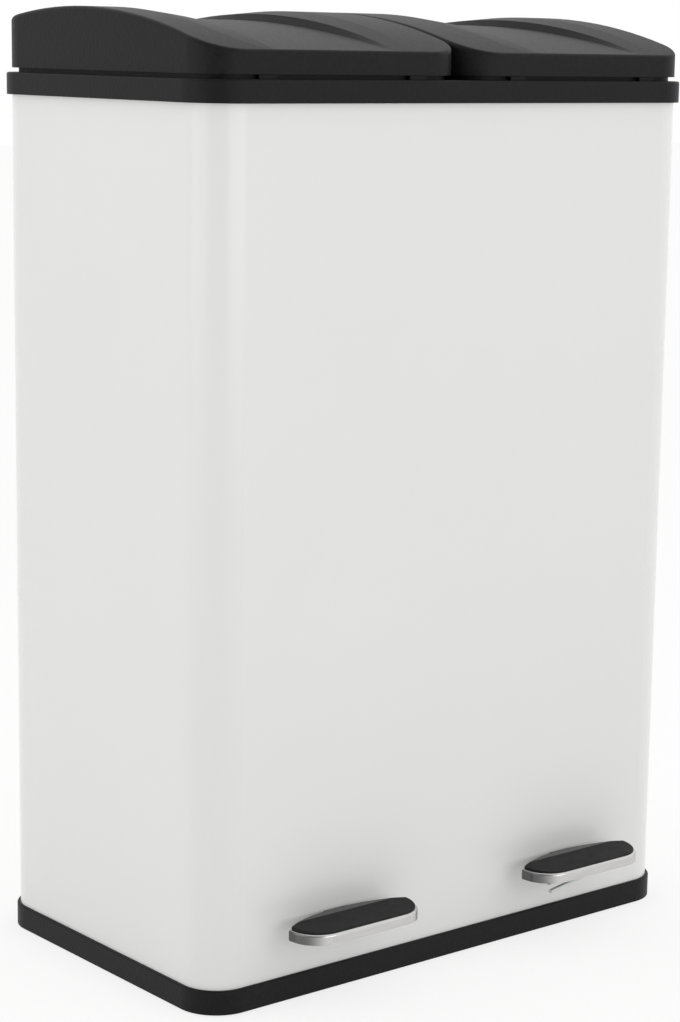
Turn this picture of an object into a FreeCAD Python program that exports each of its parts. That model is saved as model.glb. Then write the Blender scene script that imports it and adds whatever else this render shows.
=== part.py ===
import FreeCAD, Part
import math
import os

# Double recycling bin: one sheet-steel body, two lids side by side, two inner buckets,
# and a pedal under each bucket that lifts its own lid through a lever and a push rod.
# Frame: millimetres, +X to the right, +Y to the back, +Z up, origin on the floor at the
# middle of the body. Paired pieces are drawn on the right (+X) and mirrored to the left.

V = FreeCAD.Vector

# ---- Driving dimensions: body, base and rim -------------------------------------------
BODY_WIDTH = 426.0            # outside of the sheet, side to side
BODY_DEPTH = 252.0            # outside of the sheet, front to back
BODY_CORNER = 27.0            # plan radius of the four corners
SHEET = 0.8                   # steel sheet thickness
SEAM_WIDTH = 11.0             # folded seam down the middle of the back
SEAM_THICK = 1.6              # how far the folded seam stands off the back

BASE_TOP = 17.5               # height at which the painted sheet starts
BASE_OUTSET = 2.5             # base stands this far out of the sheet
BASE_WALL = 2.5
BASE_DECK = 3.0
BASE_EDGE_ROUND = 1.2
SPIGOT_HEIGHT = 12.0          # collar of the base inside the sheet
BASE_RIB = 2.0                # thickness of the ribs under the deck
BASE_RIB_FLOOR_GAP = 3.0      # ribs end this far above the floor
RIB_COUNT_ACROSS = 3
RIB_COUNT_ALONG = 4

FOOT_RADIUS = 10.0
FOOT_PROUD = 1.0              # base skirt floats this far above the floor
FOOT_THICK = 4.0
FOOT_STEM_RADIUS = 3.0
FOOT_STEM = 5.0
FOOT_INSET = 34.0             # foot centre from the outside of the sheet
FOOT_BOSS_WALL = 3.0

RIM_BOTTOM = 600.0
RIM_HEIGHT = 15.0
RIM_OUTSET = 3.7
RIM_EDGE_ROUND = 1.5
RIM_SHEET_BITE = 6.0          # how far the sheet stands up inside the rim's channel
RIM_INNER_SKIRT = 12.0        # inner skirt reaches this far below the rim's outer skirt
RIM_INNER_WALL = 2.5
RIM_PLATE = 6.0               # thickness of the rim's top plate
COLLAR_HEIGHT = 6.0           # dust collar inside each lid
COLLAR_WALL = 2.0
COLLAR_LID_GAP = 2.0          # from the inside of the lid's skirt to the collar
COLLAR_FROM_BACK = 18.0       # collar's back face from the outside of the sheet, clear of the cranks

# ---- Driving dimensions: lids and their hinges ----------------------------------------
LID_GAP = 3.0                 # dark joint between rim and lid
LID_SKIRT = 15.0              # height of the lid's front skirt
LID_RISE = 26.5               # crown above the front skirt
CREST_FROM_BACK = 96.0        # the crown's highest line from the outside of the sheet
LID_WALL = 2.5
LID_EDGE_ROUND = 3.0
LID_INNER_CORNER = 29.0       # plan radius of the corners beside the middle gap
LID_MIDDLE_GAP = 1.6          # between the two lids
LID_OPEN_ANGLE = 75.0

DISH_SHIFT = 6.1              # dish centre lies this far outboard of the lid's middle
DISH_DEPTH = 7.3              # middle of the floor below the crown, at the crest
DISH_FOOT_DEPTH = 6.9         # foot of the dish's side walls below the crown
DISH_SHOULDER_DEPTH = 2.3     # upper edge of the side walls below the crown
DISH_HALF_FOOT = 45.5         # half-widths of the dish, from its middle
DISH_HALF_SHOULDER = 50.0
DISH_HALF_WIDTH = 74.0
DISH_FADE = 0.35              # the shoulder's cutter ends this far above the crown
DISH_FRONT_INSET = 2.0        # the dish fades out this far from the lid's front and back
DISH_REAR_INSET = 7.0
DISH_CUT_HIGH = 30.0          # cutter reaches this far above the crest

HINGE_BACK = 5.0              # hinge axis behind the lid's back face
HINGE_ABOVE_RIM = 5.5         # hinge axis above the rim's top face
HINGE_SPREAD = 62.0           # each hinge from the middle of its lid
KNUCKLE_RADIUS = 4.5
KNUCKLE_WIDTH = 8.0
KNUCKLE_WEB_RISE = 11.7       # web of a knuckle on the lid's back wall, above the axis
HINGE_EAR_WIDTH = 10.0
HINGE_PIN_RADIUS = 2.0
HINGE_GUSSET = 13.0           # gusset of the rim's hinge ear, below the rim's top
HINGE_RIB = 2.0
HINGE_RIB_LENGTH = 38.0
HINGE_RIB_DEPTH = 12.0

BUMPER_LENGTH = 14.0
BUMPER_WIDTH = 1.8
BUMPER_CORNER = 0.8

# ---- Driving dimensions: pedals, levers and rods --------------------------------------
PEDAL_INBOARD = 0.9           # pedal and lever from the middle of the lid
TREAD_WIDTH = 104.0
TREAD_FRONT = 40.0            # front of the tread from the sheet's front face
TREAD_BACK_GAP = 1.3          # rear of the tread from the sheet's front face
TREAD_CORNER = 22.0           # front corners in plan
TREAD_REAR_CORNER = 3.0
TREAD_REAR_BOW = 13.2         # rise of the arched rear edge over its corners
TREAD_TOP = 56.2
TREAD_SHEET = 1.2
TREAD_SKIRT = 7.2             # height of the tread's turned-down edge
TREAD_EDGE_ROUND = 1.6
PAD_INSET = 1.8
PAD_FRONT_RISE = 0.7          # pad above the tread at its front edge
PAD_RIDGE_RISE = 2.4          # pad above the tread at its ridge
PAD_REAR_RISE = 1.6
PAD_RIDGE = 12.0              # ridge of the pad from the sheet's front face
PAD_RIDGE_ROUND = 8.0
PAD_EDGE_ROUND = 0.5

PEDAL_TRAVEL = 22.0           # down-travel at the middle of the tread
LEVER_WIDTH = 20.0
LEVER_WEB = 2.5
LEVER_FLANGE = 2.0
LEVER_FLANGE_DEPTH = 12.0
LEVER_FLANGE_INSET = 26.0     # flanges begin this far behind the sheet's front face
LEVER_LEVEL_INSET = 10.0      # the web is level to here, then slopes to the rear
LEVER_NOSE_AHEAD = 32.0       # front end of the web, before the sheet
LEVER_TAIL_DROP = 15.2        # how far the web falls to its rear end
LEVER_TAIL = 4.4              # web behind the rod's hole
PIVOT_Y = 0.0
PIVOT_Z = 38.5
PIVOT_PIN_RADIUS = 2.5
CHEEK_WALL = 4.0
CHEEK_LENGTH = 18.0
CHEEK_TOP_RADIUS = 6.5
CHEEK_GAP = 0.6               # between lever flange and cheek
PIVOT_HEAD_RADIUS = 4.2
PIVOT_HEAD = 1.6

SLOT_SIDE_GAP = 2.5           # wall slot beside the lever's web
SLOT_END_GAP = 1.6            # wall slot above and below the web's travel
SLOT_CORNER = 3.0
LINER_FLANGE = 6.0
LINER_THICK = 1.6
LINER_LIP = 1.0
LINER_GAP = 0.1               # liner's lip inside the sheet's slot

ROD_RADIUS = 2.0
ROD_SIDE_GAP = 2.5            # between the lever's flange and the rod
ROD_BEND = 4.0
ROD_FOOT_PAST = 4.0           # rod's foot past the inner flange
ROD_HOLE_GAP = 0.45
ROD_END_WIDTH = 8.0
ROD_END_WALL = 2.0
ROD_END_SLOT_GAP = 0.45
ROD_SOCKET_RADIUS = 4.0
ROD_SOCKET = 11.0
ROD_SOCKET_FLOOR = 1.5
CRANK_PIN_RADIUS = 2.0
CRANK_EAR = 3.0
CRANK_EAR_GAP = 0.4
CRANK_BOSS = 4.4
CRANK_NOTCH = 9.0             # notch in the lid's back wall between the crank ears
WINDOW_GAP = 1.5              # mechanism window round the crank ears
WINDOW_DEPTH = 17.0           # front of the window from the outside of the sheet

GUIDE_HEIGHT = 310.0
GUIDE_WIDTH = 16.0
GUIDE_TALL = 18.0
GUIDE_WALL = 3.0
GUIDE_GAP = 0.3
GUIDE_CORNER = 1.5
GUIDE_PAD_WIDTH = 25.6
GUIDE_PAD_CORNER = 0.5
GUIDE_THROAT = 3.2            # mouth that the rod snaps through

RIVET_RADIUS = 2.0
RIVET_HEAD_RADIUS = 3.6
RIVET_HEAD_SMALL = 2.5
RIVET_HEAD = 1.4
RIVET_AHEAD = 28.0            # front rivet before the sheet
RIVET_PITCH = 18.2

# ---- Driving dimensions: stay wire under the right pedal ------------------------------
WIRE_RADIUS = 1.4
WIRE_REACH = 56.0
WIRE_DROP = 2.4               # wire below the foot of its clip
WIRE_AHEAD = 14.0             # degrees that the wire points ahead of the pedal's line
WIRE_BEND = 3.4
WIRE_RISE = 5.5
CLIP_RADIUS = 4.0
CLIP_DEPTH = 9.4              # foot of the clip below the tread's sheet
CLIP_AHEAD = 19.0             # clip before the body's front face

# ---- Driving dimensions: buckets ------------------------------------------------------
BUCKET_INNER_X = 14.0         # bucket's wall beside the middle of the bin
BUCKET_SIDE_GAP = 13.0        # bucket's outer wall from the outside of the sheet
BUCKET_FRONT_GAP = 13.0
BUCKET_REAR_GAP = 27.0
BUCKET_CORNER = 20.0
BUCKET_TAPER = 8.0            # each wall leans in by this much at the floor
BUCKET_WALL = 2.0
BUCKET_FLOOR = 66.0           # underside of the bucket
BUCKET_FLANGE = 5.5
BUCKET_FLANGE_THICK = 2.5
GRIP_WIDTH = 76.0
GRIP_HEIGHT = 22.0
GRIP_DROP = 22.0              # top of the finger grip below the bucket's flange
BUCKET_BEAD = 1.2
BUCKET_BEAD_DROP = 60.0
BUCKET_BEAD_HEIGHT = 5.0

# ---- Driving dimensions: screws -------------------------------------------------------
SCREW_RADIUS = 1.7
SCREW_HEAD_RADIUS = 3.6
SCREW_HEAD = 2.0
SCREW_LENGTH = 7.0
SCREW_HEAD_ROUND = 1.2
SCREW_RECESS = 1.0            # depth of the cross recess
SCREW_CROSS = 3.6
SCREW_CROSS_SLOT = 1.0
SCREW_COUNT = 3
SCREW_PITCH = 150.0
SCREW_SHIFT = 18.0            # rows sit beside the seam, not on it
BASE_SCREW_Z = 23.5
RIM_SCREW_Z = 594.0

# ---- Clearances -----------------------------------------------------------------------
FIT_GAP = 0.3                 # plastic against sheet, and parts that lift out
PRESS_GAP = 0.02              # pins held by their ears
RUN_GAP = 0.06                # pins that turn
SAME = 0.05                   # two positions nearer than this are the same
PAST = 1.0                    # cutters and roots reach this far past a face
PAST_LID = 10.0               # the dish's cutter reaches this far past the lid

# ---- Sizes that follow from the ones above ---------------------------------------------
half_w = BODY_WIDTH / 2
half_d = BODY_DEPTH / 2
sheet_in_w = half_w - SHEET
sheet_in_d = half_d - SHEET
sheet_in_corner = BODY_CORNER - SHEET
spigot_w = sheet_in_w - FIT_GAP
spigot_d = sheet_in_d - FIT_GAP
spigot_corner = sheet_in_corner - FIT_GAP
front_face = -half_d
rim_top = RIM_BOTTOM + RIM_HEIGHT
lid_bottom = rim_top + LID_GAP
lid_front_top = lid_bottom + LID_SKIRT
lid_crest_z = lid_front_top + LID_RISE
lid_inner_x = LID_MIDDLE_GAP / 2
lid_middle = (lid_inner_x + half_w) / 2
hinge_y = half_d + HINGE_BACK
hinge_z = rim_top + HINGE_ABOVE_RIM
lid_crest_y = half_d - CREST_FROM_BACK
window_front = half_d - WINDOW_DEPTH
dish_x = lid_middle + DISH_SHIFT
dish_front_y = front_face + DISH_FRONT_INSET
dish_rear_y = half_d - DISH_REAR_INSET

bucket_outer_x = half_w - BUCKET_SIDE_GAP
bucket_front_y = front_face + BUCKET_FRONT_GAP
bucket_rear_y = half_d - BUCKET_REAR_GAP

pedal_x = lid_middle - PEDAL_INBOARD
pedal_mid_y = front_face - (TREAD_FRONT + TREAD_BACK_GAP) / 2
tread_under = TREAD_TOP - TREAD_SHEET
web_top = tread_under
web_bottom = web_top - LEVER_WEB
pedal_angle = math.degrees(math.asin(PEDAL_TRAVEL / (PIVOT_Y - pedal_mid_y)))
flange_start_y = front_face + LEVER_FLANGE_INSET
level_end_y = front_face + LEVER_LEVEL_INSET
lever_nose_y = front_face - LEVER_NOSE_AHEAD
rivet_first_y = front_face - RIVET_AHEAD
rod_x = pedal_x + LEVER_WIDTH / 2 + ROD_SIDE_GAP + ROD_RADIUS
clip_x = pedal_x + LEVER_WIDTH / 2 + FIT_GAP + CLIP_RADIUS
clip_y = front_face - CLIP_AHEAD
clip_foot = tread_under - CLIP_DEPTH


def turn_yz(y, z, centre_y, centre_z, degrees):
    """Turn a point of the Y-Z plane about +X."""
    a = math.radians(degrees)
    dy = y - centre_y
    dz = z - centre_z
    return (centre_y + dy * math.cos(a) - dz * math.sin(a),
            centre_z + dy * math.sin(a) + dz * math.cos(a))


def solve_linkage():
    """Rod position and crank radius that give the lid its angle for the pedal's travel.

    The lever's rear hole lies below the sloping web by the same amount as the pivot, so
    the rod's lift follows from the lever alone. The crank pin starts half the lid's angle
    below the hinge and ends half above it, so that the rod stays nearly upright.
    """
    slope_length = hinge_y - level_end_y
    half_open = math.radians(LID_OPEN_ANGLE / 2)
    crank = 14.0
    for _ in range(20):
        mean_y = hinge_y - crank * (1 + math.cos(half_open)) / 2
        hole_z = PIVOT_Z - LEVER_TAIL_DROP * (mean_y - PIVOT_Y) / slope_length
        top_y, top_z = turn_yz(mean_y, hole_z, PIVOT_Y, PIVOT_Z, pedal_angle)
        crank = (top_z - hole_z) / (2 * math.sin(half_open))
    return mean_y, hole_z, top_z - hole_z, crank, (top_y - mean_y)


rod_y, rod_foot_z, rod_lift, crank_radius, rod_foot_shift = solve_linkage()
crank_y, crank_z = turn_yz(hinge_y - crank_radius, hinge_z, hinge_y, hinge_z, LID_OPEN_ANGLE / 2)
crank_swing = crank_radius * (1 - math.cos(math.radians(LID_OPEN_ANGLE / 2)))


# ---- Small tools ------------------------------------------------------------------------
def plan_wire(x0, x1, y0, y1, radii, z):
    """Rounded rectangle in plan; radii run front-left, front-right, rear-right, rear-left."""
    fl, fr, rr, rl = radii
    left = V(-1, 0, 0)
    front = V(0, -1, 0)
    corners = [
        (V(x0 + fl, y0 + fl, z), fl, left, front), (V(x1 - fr, y0 + fr, z), fr, front, -left),
        (V(x1 - rr, y1 - rr, z), rr, -left, -front), (V(x0 + rl, y1 - rl, z), rl, -front, left),
    ]
    edges = []
    ends = []
    for centre, r, start, stop in corners:
        first = centre + start * r
        last = centre + stop * r
        middle = centre + (start + stop).normalize() * r
        edges.append(Part.Arc(first, middle, last).toShape())
        ends.append((first, last))
    closed = []
    for i, edge in enumerate(edges):
        closed.append(edge)
        here = ends[i][1]
        there = ends[(i + 1) % 4][0]
        if here.distanceToPoint(there) > 1e-6:
            closed.append(Part.LineSegment(here, there).toShape())
    return Part.Wire(closed)


def plan_block(x0, x1, y0, y1, radii, z0, z1):
    if not isinstance(radii, (list, tuple)):
        radii = [radii] * 4
    return Part.Face(plan_wire(x0, x1, y0, y1, radii, z0)).extrude(V(0, 0, z1 - z0))


def centred_block(hw, hd, corner, z0, z1):
    return plan_block(-hw, hw, -hd, hd, corner, z0, z1)


def side_block(points, x0, x1):
    """Prism along X with a straight-sided outline in the Y-Z plane."""
    ring = [V(x0, y, z) for y, z in points]
    return Part.Face(Part.makePolygon(ring + ring[:1])).extrude(V(x1 - x0, 0, 0))


def box(x0, x1, y0, y1, z0, z1):
    return Part.makeBox(x1 - x0, y1 - y0, z1 - z0, V(x0, y0, z0))


def x_rod(radius, x0, x1, y, z):
    return Part.makeCylinder(radius, x1 - x0, V(x0, y, z), V(1, 0, 0))


def y_rod(radius, x, y0, y1, z):
    return Part.makeCylinder(radius, y1 - y0, V(x, y0, z), V(0, 1, 0))


def z_rod(radius, x, y, z0, z1):
    return Part.makeCylinder(radius, z1 - z0, V(x, y, z0))


def fuse(first, *others):
    return first.multiFuse(list(others)).removeSplitter() if others else first


def other_side(shape):
    return shape.mirror(V(0, 0, 0), V(1, 0, 0))


def both_sides(shape):
    return [shape, other_side(shape)]


def flat_edges_at(shape, z):
    """Edges that lie wholly in the horizontal plane at z."""
    return [e for e in shape.Edges if abs(e.BoundBox.ZMin - z) < SAME and abs(e.BoundBox.ZMax - z) < SAME]


def evenly(count, span):
    return [(-0.5 + (i + 0.5) / count) * span for i in range(count)]


def save(name, *solids):
    shape = solids[0] if len(solids) == 1 else Part.makeCompound(list(solids))
    shape.exportStep("parts/%s.step" % name)


# ---- Body, base and rim -----------------------------------------------------------------
def slot_span():
    """Low and high edge of the wall slot, from the web's travel at the front wall."""
    _, low = turn_yz(front_face, web_bottom, PIVOT_Y, PIVOT_Z, pedal_angle)
    return low - SLOT_END_GAP, web_top + SLOT_END_GAP


def slot_cutter(grow):
    low, high = slot_span()
    half = LEVER_WIDTH / 2 + SLOT_SIDE_GAP + grow
    corner = SLOT_CORNER + grow
    flat = Part.Face(plan_wire(-half, half, low - grow, high + grow, [corner] * 4, 0))
    flat.rotate(V(0, 0, 0), V(1, 0, 0), 90)
    flat.translate(V(pedal_x, front_face, 0))
    return flat


def screw_spots():
    first = SCREW_SHIFT - (SCREW_COUNT - 1) / 2 * SCREW_PITCH
    return [first + i * SCREW_PITCH for i in range(SCREW_COUNT)]


def screw_bores(z):
    return [y_rod(SCREW_RADIUS + PRESS_GAP, x, half_d - SCREW_LENGTH - PAST, half_d, z)
            for x in screw_spots()]


def make_body_shell():
    sheet_top = RIM_BOTTOM + RIM_SHEET_BITE
    outer = centred_block(half_w, half_d, BODY_CORNER, BASE_TOP, sheet_top)
    inner = centred_block(sheet_in_w, sheet_in_d, sheet_in_corner, BASE_TOP, sheet_top)
    seam = box(-SEAM_WIDTH / 2, SEAM_WIDTH / 2, half_d - SHEET, half_d + SEAM_THICK,
               BASE_TOP + FIT_GAP, RIM_BOTTOM - FIT_GAP)
    shell = fuse(outer.cut(inner), seam)
    slot = slot_cutter(0).extrude(V(0, 3 * SHEET, 0))
    slot.translate(V(0, -SHEET, 0))
    holes = [y_rod(SCREW_RADIUS + FIT_GAP, x, sheet_in_d - PAST, half_d + PAST, z)
             for x in screw_spots() for z in (BASE_SCREW_Z, RIM_SCREW_Z)]
    return shell.cut(Part.makeCompound(both_sides(slot) + holes))


def make_slot_liner():
    """Plastic liner behind the wall slot, with a lip that covers the sheet's cut edge."""
    low, high = slot_span()
    back = sheet_in_d
    plate = slot_cutter(LINER_FLANGE).extrude(V(0, LINER_THICK, 0))
    plate.translate(V(0, SHEET, 0))
    opening = slot_cutter(-LINER_LIP).extrude(V(0, 4 * LINER_THICK, 0))
    opening.translate(V(0, -LINER_THICK, 0))
    lip = slot_cutter(-LINER_GAP).extrude(V(0, SHEET, 0))
    spigot_zone = box(pedal_x - back, pedal_x + back, -back - PAST, -back + 2 * LINER_THICK,
                      0, BASE_TOP + SPIGOT_HEIGHT + FIT_GAP)
    return fuse(plate, lip).cut(opening).cut(spigot_zone)


def foot_spots():
    x = half_w - FOOT_INSET
    y = half_d - FOOT_INSET
    return [(-x, -y), (x, -y), (-x, y), (x, y), (0, 0)]


def make_feet():
    feet = []
    for x, y in foot_spots():
        disc = z_rod(FOOT_RADIUS, x, y, 0, FOOT_THICK)
        disc = disc.makeFillet(FOOT_PROUD, flat_edges_at(disc, 0))
        feet.append(fuse(disc, z_rod(FOOT_STEM_RADIUS, x, y, FOOT_THICK, FOOT_THICK + FOOT_STEM)))
    return feet


def make_cheek(x0, x1):
    """Upright cheek that carries one end of the lever's pivot pin."""
    half = CHEEK_LENGTH / 2
    root = BASE_TOP - PAST
    top = CHEEK_TOP_RADIUS
    foot = side_block([(PIVOT_Y - half, root), (PIVOT_Y + half, root),
                       (PIVOT_Y + top, PIVOT_Z), (PIVOT_Y - top, PIVOT_Z)], x0, x1)
    return fuse(foot, x_rod(CHEEK_TOP_RADIUS, x0, x1, PIVOT_Y, PIVOT_Z))


def make_base():
    skirt_low = FOOT_PROUD
    out_w = half_w + BASE_OUTSET
    out_d = half_d + BASE_OUTSET
    out_corner = BODY_CORNER + BASE_OUTSET
    outer = centred_block(out_w, out_d, out_corner, skirt_low, BASE_TOP)
    outer = outer.makeFillet(BASE_EDGE_ROUND, flat_edges_at(outer, BASE_TOP))
    under = BASE_TOP - BASE_DECK
    hollow = centred_block(out_w - BASE_WALL, out_d - BASE_WALL, out_corner - BASE_WALL, 0, under)
    collar_top = BASE_TOP + SPIGOT_HEIGHT
    collar = centred_block(spigot_w, spigot_d, spigot_corner, BASE_TOP - PAST, collar_top)
    collar_hole = centred_block(spigot_w - BASE_WALL, spigot_d - BASE_WALL, spigot_corner - BASE_WALL,
                                BASE_TOP - PAST, collar_top)
    extras = [collar.cut(collar_hole)]
    for y in evenly(RIB_COUNT_ACROSS, 2 * out_d):
        extras.append(box(-out_w + BASE_WALL / 2, out_w - BASE_WALL / 2, y - BASE_RIB / 2, y + BASE_RIB / 2,
                          BASE_RIB_FLOOR_GAP, under + PAST))
    for x in evenly(RIB_COUNT_ALONG, 2 * out_w):
        extras.append(box(x - BASE_RIB / 2, x + BASE_RIB / 2, -out_d + BASE_WALL / 2, out_d - BASE_WALL / 2,
                          BASE_RIB_FLOOR_GAP, under + PAST))
    boss_radius = FOOT_STEM_RADIUS + FOOT_BOSS_WALL
    for x, y in foot_spots():
        extras.append(z_rod(boss_radius, x, y, FOOT_THICK, under + PAST))
    inside = pedal_x - LEVER_WIDTH / 2 - CHEEK_GAP
    outside = pedal_x + LEVER_WIDTH / 2 + CHEEK_GAP
    cheeks = [make_cheek(inside - CHEEK_WALL, inside), make_cheek(outside, outside + CHEEK_WALL)]
    for cheek in cheeks:
        extras += both_sides(cheek)
    base = fuse(outer.cut(hollow), *extras)
    stem_top = FOOT_THICK + FOOT_STEM + FIT_GAP
    cuts = [z_rod(FOOT_STEM_RADIUS + PRESS_GAP, x, y, 0, stem_top) for x, y in foot_spots()]
    cuts += [z_rod(FOOT_RADIUS + FIT_GAP, x, y, 0, FOOT_THICK) for x, y in foot_spots()]
    tail_notch = box(inside, outside, rod_y, half_d, BASE_TOP, collar_top)
    cuts += both_sides(tail_notch)
    pin_bore = x_rod(PIVOT_PIN_RADIUS + PRESS_GAP, inside - CHEEK_WALL - PAST, outside + CHEEK_WALL + PAST,
                     PIVOT_Y, PIVOT_Z)
    cuts += both_sides(pin_bore)
    cuts += screw_bores(BASE_SCREW_Z)
    return base.cut(Part.makeCompound(cuts))


def collar_limits():
    """Outside limits of the dust collar under the right lid."""
    step = LID_WALL + COLLAR_LID_GAP
    return lid_inner_x + step, half_w - step, front_face + step, half_d - COLLAR_FROM_BACK


def make_hinge_ear(x0, x1):
    """Ear of the rim that holds a hinge pin behind the lid, with a gusset down the rim."""
    rim_back = half_d + RIM_OUTSET
    back = hinge_y + KNUCKLE_RADIUS
    front = hinge_y - KNUCKLE_RADIUS
    web = side_block([(front, hinge_z), (back, hinge_z), (back, rim_top - HINGE_GUSSET / 3),
                      (rim_back, rim_top - HINGE_GUSSET), (half_d + FIT_GAP, rim_top - HINGE_GUSSET),
                      (half_d + FIT_GAP, rim_top - PAST), (front, rim_top - PAST)], x0, x1)
    return fuse(web, x_rod(KNUCKLE_RADIUS, x0, x1, hinge_y, hinge_z))


def hinge_spots():
    return [lid_middle - HINGE_SPREAD, lid_middle + HINGE_SPREAD]


def window_block():
    """Space that the crank ears and the rod's end sweep through, at the back of the rim."""
    half = ROD_END_WIDTH / 2 + CRANK_EAR_GAP + CRANK_EAR + WINDOW_GAP
    return box(rod_x - half, rod_x + half, window_front, sheet_in_d - FIT_GAP / 2,
               RIM_BOTTOM - RIM_INNER_SKIRT - PAST, rim_top + COLLAR_HEIGHT + PAST)


def make_rim():
    outer = centred_block(half_w + RIM_OUTSET, half_d + RIM_OUTSET, BODY_CORNER + RIM_OUTSET,
                          RIM_BOTTOM, rim_top)
    outer = outer.makeFillet(RIM_EDGE_ROUND, flat_edges_at(outer, rim_top))
    inner_low = RIM_BOTTOM - RIM_INNER_SKIRT
    skirt = centred_block(spigot_w, spigot_d, spigot_corner, inner_low, rim_top - PAST)
    plate_under = rim_top - RIM_PLATE
    wall = RIM_INNER_WALL
    hollow = centred_block(spigot_w - wall, spigot_d - wall, spigot_corner - wall, inner_low, plate_under)
    channel_top = RIM_BOTTOM + RIM_SHEET_BITE + FIT_GAP
    channel = centred_block(half_w + FIT_GAP, half_d + FIT_GAP, BODY_CORNER + FIT_GAP,
                            RIM_BOTTOM, channel_top)
    channel = channel.cut(centred_block(spigot_w, spigot_d, spigot_corner, RIM_BOTTOM, channel_top))
    x0, x1, y0, y1 = collar_limits()
    near = BODY_CORNER - LID_WALL - COLLAR_LID_GAP
    far = LID_INNER_CORNER - LID_WALL - COLLAR_LID_GAP
    w = COLLAR_WALL
    low = rim_top - PAST
    high = rim_top + COLLAR_HEIGHT
    ring = plan_block(x0, x1, y0, y1, [far, near, 2 * w, 2 * w], low, high)
    ring = ring.cut(plan_block(x0 + w, x1 - w, y0 + w, y1 - w, [far - w, near - w, w, w], low, high))
    parts = [skirt] + both_sides(ring)
    half_ear = HINGE_EAR_WIDTH / 2
    for x in hinge_spots():
        parts += both_sides(make_hinge_ear(x - half_ear, x + half_ear))
    rim = fuse(outer, *parts)
    seat = BUCKET_FLANGE + FIT_GAP
    corner = BUCKET_CORNER
    mouth = plan_block(BUCKET_INNER_X - FIT_GAP, bucket_outer_x + FIT_GAP, bucket_front_y - FIT_GAP,
                       bucket_rear_y + FIT_GAP, corner + FIT_GAP, inner_low, high)
    rebate = plan_block(BUCKET_INNER_X - seat, bucket_outer_x + seat, bucket_front_y - seat,
                        bucket_rear_y + seat, corner + seat, rim_top - BUCKET_FLANGE_THICK, high)
    pins = [x_rod(HINGE_PIN_RADIUS + RUN_GAP, x - HINGE_EAR_WIDTH, x + HINGE_EAR_WIDTH, hinge_y, hinge_z)
            for x in hinge_spots()]
    cuts = [hollow, channel]
    for cutter in [mouth, rebate, window_block()] + pins:
        cuts += both_sides(cutter)
    cuts += screw_bores(RIM_SCREW_Z)
    return rim.cut(Part.makeCompound(cuts))


def make_bumpers():
    """Small rubber strips on the rim, just under the front skirt of the right lid."""
    y = front_face + LID_WALL / 2
    half = BUMPER_WIDTH / 2
    strips = []
    for x in hinge_spots():
        strips.append(plan_block(x - BUMPER_LENGTH / 2, x + BUMPER_LENGTH / 2, y - half, y + half,
                                 BUMPER_CORNER, rim_top, lid_bottom - FIT_GAP))
    return strips


# ---- Lids --------------------------------------------------------------------------------
crown_radius = ((lid_crest_y - front_face) ** 2 + LID_RISE ** 2) / (2 * LID_RISE)


def crown_z(y):
    return lid_crest_z - crown_radius + math.sqrt(crown_radius ** 2 - (y - lid_crest_y) ** 2)


def crown_block(drop, base_z):
    """Prism along X under the crown's arc, lowered by drop."""
    a, b, c = [V(-PAST, y, crown_z(y) - drop) for y in (front_face - PAST, lid_crest_y, half_d + PAST)]
    low_c = V(-PAST, c.y, base_z)
    low_a = V(-PAST, a.y, base_z)
    edges = [Part.Arc(a, b, c).toShape(), Part.LineSegment(c, low_c).toShape(),
             Part.LineSegment(low_c, low_a).toShape(), Part.LineSegment(low_a, a).toShape()]
    return Part.Face(Part.Wire(edges)).extrude(V(half_w + 2 * PAST, 0, 0))


def dish_section(x, depth, lift):
    """Section of the dish's cutter at x: an arched floor from front to rear, open to the top.

    The floor lies by depth under the crown at the crest and meets the crown, raised by lift,
    at the dish's two ends.
    """
    ends = [(y, crown_z(y) + lift) for y in (dish_front_y, dish_rear_y)]
    crest = (lid_crest_y, lid_crest_z - depth)
    circle = Part.Circle(V(0, *ends[0]), V(0, *crest), V(0, *ends[1]))
    floor = []
    for y in (front_face - PAST_LID, lid_crest_y, half_d + PAST_LID):
        dy = y - circle.Center.y
        floor.append(V(x, y, circle.Center.z + math.sqrt(circle.Radius ** 2 - dy ** 2)))
    top_front = V(x, floor[0].y, lid_crest_z + DISH_CUT_HIGH)
    top_rear = V(x, floor[2].y, lid_crest_z + DISH_CUT_HIGH)
    return Part.Wire([Part.Arc(*floor).toShape(), Part.LineSegment(floor[2], top_rear).toShape(),
                      Part.LineSegment(top_rear, top_front).toShape(),
                      Part.LineSegment(top_front, floor[0]).toShape()])


def dish_block(grow, drop):
    """Cutter of the lid's long dish: soft shoulders, steep side walls and a flat floor."""
    half = [(DISH_HALF_FOOT + grow, DISH_FOOT_DEPTH, 0), (DISH_HALF_SHOULDER + grow, DISH_SHOULDER_DEPTH, 0),
            (DISH_HALF_WIDTH + grow, -DISH_FADE, DISH_FADE)]
    stations = [(-x, depth, lift) for x, depth, lift in reversed(half)]
    stations += [(0, DISH_DEPTH, 0)] + half
    sections = [dish_section(dish_x + x, depth, lift) for x, depth, lift in stations]
    cutter = Part.makeLoft(sections, True, True)
    cutter.translate(V(0, 0, -drop))
    return cutter


def lid_plan(inset, z0, z1):
    near = LID_INNER_CORNER - inset
    far = BODY_CORNER - inset
    return plan_block(lid_inner_x + inset, half_w - inset, front_face + inset, half_d - inset,
                      [near, far, far, near], z0, z1)


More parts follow.
